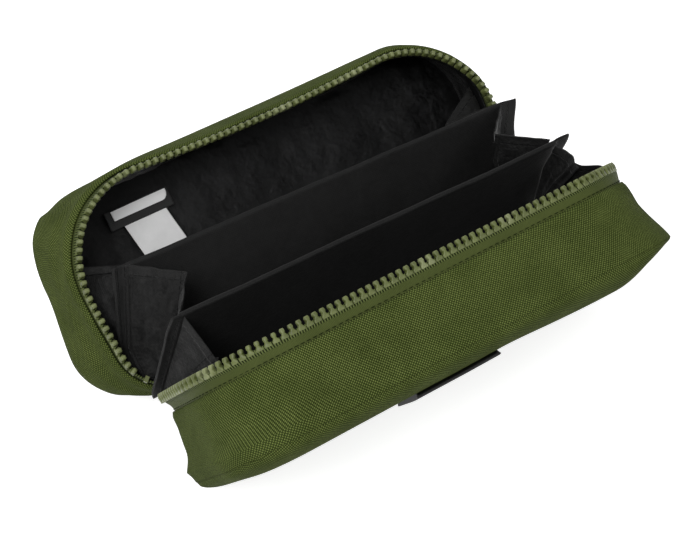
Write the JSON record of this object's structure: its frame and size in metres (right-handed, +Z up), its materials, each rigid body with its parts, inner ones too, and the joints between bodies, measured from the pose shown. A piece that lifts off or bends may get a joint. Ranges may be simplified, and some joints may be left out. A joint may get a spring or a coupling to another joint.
{
  "type": "accordion pencil case",
  "caption": "Soft zipped pencil case that opens along its base like a clam, with three pockets between padded walls and stiff dividers joined by pleated end gussets.",
  "frame": {"origin": "on the surface it stands on, under the middle of the open case", "axes": "+X along the case from its left end to its right, +Y from the front half to the rear half, +Z up"},
  "size_m": [0.223, 0.1918, 0.0928],
  "materials": {
    "shell_cloth": "olive green plain-woven polyester, matt",
    "foam": "grey sheet foam",
    "lining_cloth": "thin black nylon with a soft sheen",
    "zip_tape": "olive green herringbone zip tape",
    "zip_plastic": "moulded olive green, satin",
    "slider_metal": "dark olive lacquer",
    "satin_label": "grey satin ribbon, blank",
    "black_label": "black folded woven ribbon, blank",
    "white_label": "white woven strip, blank",
    "patch_rubber": "plain black, matt",
    "divider_cloth": "black nylon with a soft sheen",
    "card": "stiff grey sheet",
    "gusset_cloth": "thin black nylon"
  },
  "bodies": {
    "rear_half": {"rear_side_band": "shell_cloth", "rear_main_panel": "shell_cloth", "rear_base_panel": "shell_cloth", "rear_side_foam": "foam", "rear_panel_foam": "foam", "rear_base_foam": "foam", "rear_side_lining": "lining_cloth", "rear_panel_lining": "lining_cloth", "rear_base_lining": "lining_cloth", "rear_zip_tape": "zip_tape", "rear_zip_teeth": "zip_plastic", "rear_zip_stop_left": "zip_plastic", "rear_zip_stop_right": "zip_plastic", "zip_slider": "slider_metal", "care_label": "satin_label", "folded_label": "black_label", "label_insert": "white_label"},
    "front_half": {"front_side_band": "shell_cloth", "front_main_panel": "shell_cloth", "front_base_panel": "shell_cloth", "front_side_foam": "foam", "front_panel_foam": "foam", "front_base_foam": "foam", "front_side_lining": "lining_cloth", "front_panel_lining": "lining_cloth", "front_base_lining": "lining_cloth", "front_zip_tape": "zip_tape", "front_zip_teeth": "zip_plastic", "front_zip_stop_left": "zip_plastic", "front_zip_stop_right": "zip_plastic", "front_patch": "patch_rubber"},
    "rear_divider": {"rear_divider_cover": "divider_cloth", "rear_divider_card": "card"},
    "front_divider": {"front_divider_cover": "divider_cloth", "front_divider_card": "card"},
    "pull_tab": {"zip_pull_tab": "slider_metal"},
    "rear_gusset_left_rear": {"rear_gusset_left_rear_leaf": "gusset_cloth"},
    "rear_gusset_left_front": {"rear_gusset_left_front_leaf": "gusset_cloth"},
    "middle_gusset_left_rear": {"middle_gusset_left_rear_leaf": "gusset_cloth"},
    "middle_gusset_left_front": {"middle_gusset_left_front_leaf": "gusset_cloth"},
    "front_gusset_left_rear": {"front_gusset_left_rear_leaf": "gusset_cloth"},
    "front_gusset_left_front": {"front_gusset_left_front_leaf": "gusset_cloth"},
    "rear_gusset_right_rear": {"rear_gusset_right_rear_leaf": "gusset_cloth"},
    "rear_gusset_right_front": {"rear_gusset_right_front_leaf": "gusset_cloth"},
    "middle_gusset_right_rear": {"middle_gusset_right_rear_leaf": "gusset_cloth"},
    "middle_gusset_right_front": {"middle_gusset_right_front_leaf": "gusset_cloth"},
    "front_gusset_right_rear": {"front_gusset_right_rear_leaf": "gusset_cloth"},
    "front_gusset_right_front": {"front_gusset_right_front_leaf": "gusset_cloth"}
  },
  "joints": [
    {"name": "case_opening", "type": "hinge", "parent": "rear_half", "child": "front_half", "pos_m": [0, 0, 0.02602], "axis": [1, 0, 0], "range_deg": [-89, 21]},
    {"name": "rear_divider_fold", "type": "hinge", "parent": "rear_half", "child": "rear_divider", "pos_m": [0, 0.00564, 0.02748], "axis": [1, 0, 0], "range_deg": [-29.6, 7]},
    {"name": "front_divider_fold", "type": "hinge", "parent": "front_half", "child": "front_divider", "pos_m": [0, -0.00564, 0.02748], "axis": [1, 0, 0], "range_deg": [-8.7, 36.6]},
    {"name": "pull_tab_swing", "type": "hinge", "parent": "rear_half", "child": "pull_tab", "pos_m": [0.09636, 0.00036, 0.02639], "axis": [0, -0.7133, 0.7009], "range_deg": [-25, 55]},
    {"name": "rear_left_rear_leaf_fold", "type": "hinge", "parent": "rear_half", "child": "rear_gusset_left_rear", "pos_m": [-0.10018, 0.01836, 0.02901], "axis": [-0.1075, 0.8669, 0.4867], "range_deg": [-7, 29.4]},
    {"name": "rear_left_front_leaf_fold", "type": "hinge", "parent": "rear_divider", "child": "rear_gusset_left_front", "pos_m": [-0.087, 0.01023, 0.03542], "axis": [0, 0.3256, 0.9455], "range_deg": [-34.2, 8.1]},
    {"name": "middle_left_rear_leaf_fold", "type": "hinge", "parent": "rear_divider", "child": "middle_gusset_left_rear", "pos_m": [-0.087, 0.00692, 0.03656], "axis": [0, 0.3256, 0.9455], "range_deg": [-9.1, 38.5]},
    {"name": "middle_left_front_leaf_fold", "type": "hinge", "parent": "front_divider", "child": "middle_gusset_left_front", "pos_m": [-0.087, -0.0058, 0.03665], "axis": [0, -0.2079, 0.9781], "range_deg": [-38.9, 9.2]},
    {"name": "front_left_rear_leaf_fold", "type": "hinge", "parent": "front_divider", "child": "front_gusset_left_rear", "pos_m": [-0.087, -0.00923, 0.03592], "axis": [0, -0.2079, 0.9781], "range_deg": [-10.1, 42.5]},
    {"name": "front_left_front_leaf_fold", "type": "hinge", "parent": "front_half", "child": "front_gusset_left_front", "pos_m": [-0.10018, -0.01836, 0.02901], "axis": [-0.1075, -0.8669, 0.4867], "range_deg": [-36.1, 8.6]},
    {"name": "rear_right_rear_leaf_fold", "type": "hinge", "parent": "rear_half", "child": "rear_gusset_right_rear", "pos_m": [0.10018, 0.01836, 0.02901], "axis": [0.1075, 0.8669, 0.4867], "range_deg": [-29.4, 7]},
    {"name": "rear_right_front_leaf_fold", "type": "hinge", "parent": "rear_divider", "child": "rear_gusset_right_front", "pos_m": [0.087, 0.01023, 0.03542], "axis": [0, 0.3256, 0.9455], "range_deg": [-8.1, 34.2]},
    {"name": "middle_right_rear_leaf_fold", "type": "hinge", "parent": "rear_divider", "child": "middle_gusset_right_rear", "pos_m": [0.087, 0.00692, 0.03656], "axis": [0, 0.3256, 0.9455], "range_deg": [-38.5, 9.1]},
    {"name": "middle_right_front_leaf_fold", "type": "hinge", "parent": "front_divider", "child": "middle_gusset_right_front", "pos_m": [0.087, -0.0058, 0.03665], "axis": [0, -0.2079, 0.9781], "range_deg": [-9.2, 38.9]},
    {"name": "front_right_rear_leaf_fold", "type": "hinge", "parent": "front_divider", "child": "front_gusset_right_rear", "pos_m": [0.087, -0.00923, 0.03592], "axis": [0, -0.2079, 0.9781], "range_deg": [-42.5, 10.1]},
    {"name": "front_right_front_leaf_fold", "type": "hinge", "parent": "front_half", "child": "front_gusset_right_front", "pos_m": [0.10018, -0.01836, 0.02901], "axis": [0.1075, -0.8669, 0.4867], "range_deg": [-8.6, 36.1]}
  ],
  "couplings": [
    {"joint": "rear_divider_fold", "follows": "case_opening", "ratio": 0.331},
    {"joint": "front_divider_fold", "follows": "case_opening", "ratio": -0.41},
    {"joint": "rear_left_rear_leaf_fold", "follows": "case_opening", "ratio": -0.329},
    {"joint": "rear_left_front_leaf_fold", "follows": "case_opening", "ratio": 0.383},
    {"joint": "middle_left_rear_leaf_fold", "follows": "case_opening", "ratio": -0.432},
    {"joint": "middle_left_front_leaf_fold", "follows": "case_opening", "ratio": 0.436},
    {"joint": "front_left_rear_leaf_fold", "follows": "case_opening", "ratio": -0.476},
    {"joint": "front_left_front_leaf_fold", "follows": "case_opening", "ratio": 0.404},
    {"joint": "rear_right_rear_leaf_fold", "follows": "case_opening", "ratio": 0.329},
    {"joint": "rear_right_front_leaf_fold", "follows": "case_opening", "ratio": -0.383},
    {"joint": "middle_right_rear_leaf_fold", "follows": "case_opening", "ratio": 0.432},
    {"joint": "middle_right_front_leaf_fold", "follows": "case_opening", "ratio": -0.436},
    {"joint": "front_right_rear_leaf_fold", "follows": "case_opening", "ratio": 0.476},
    {"joint": "front_right_front_leaf_fold", "follows": "case_opening", "ratio": -0.404}
  ]
}
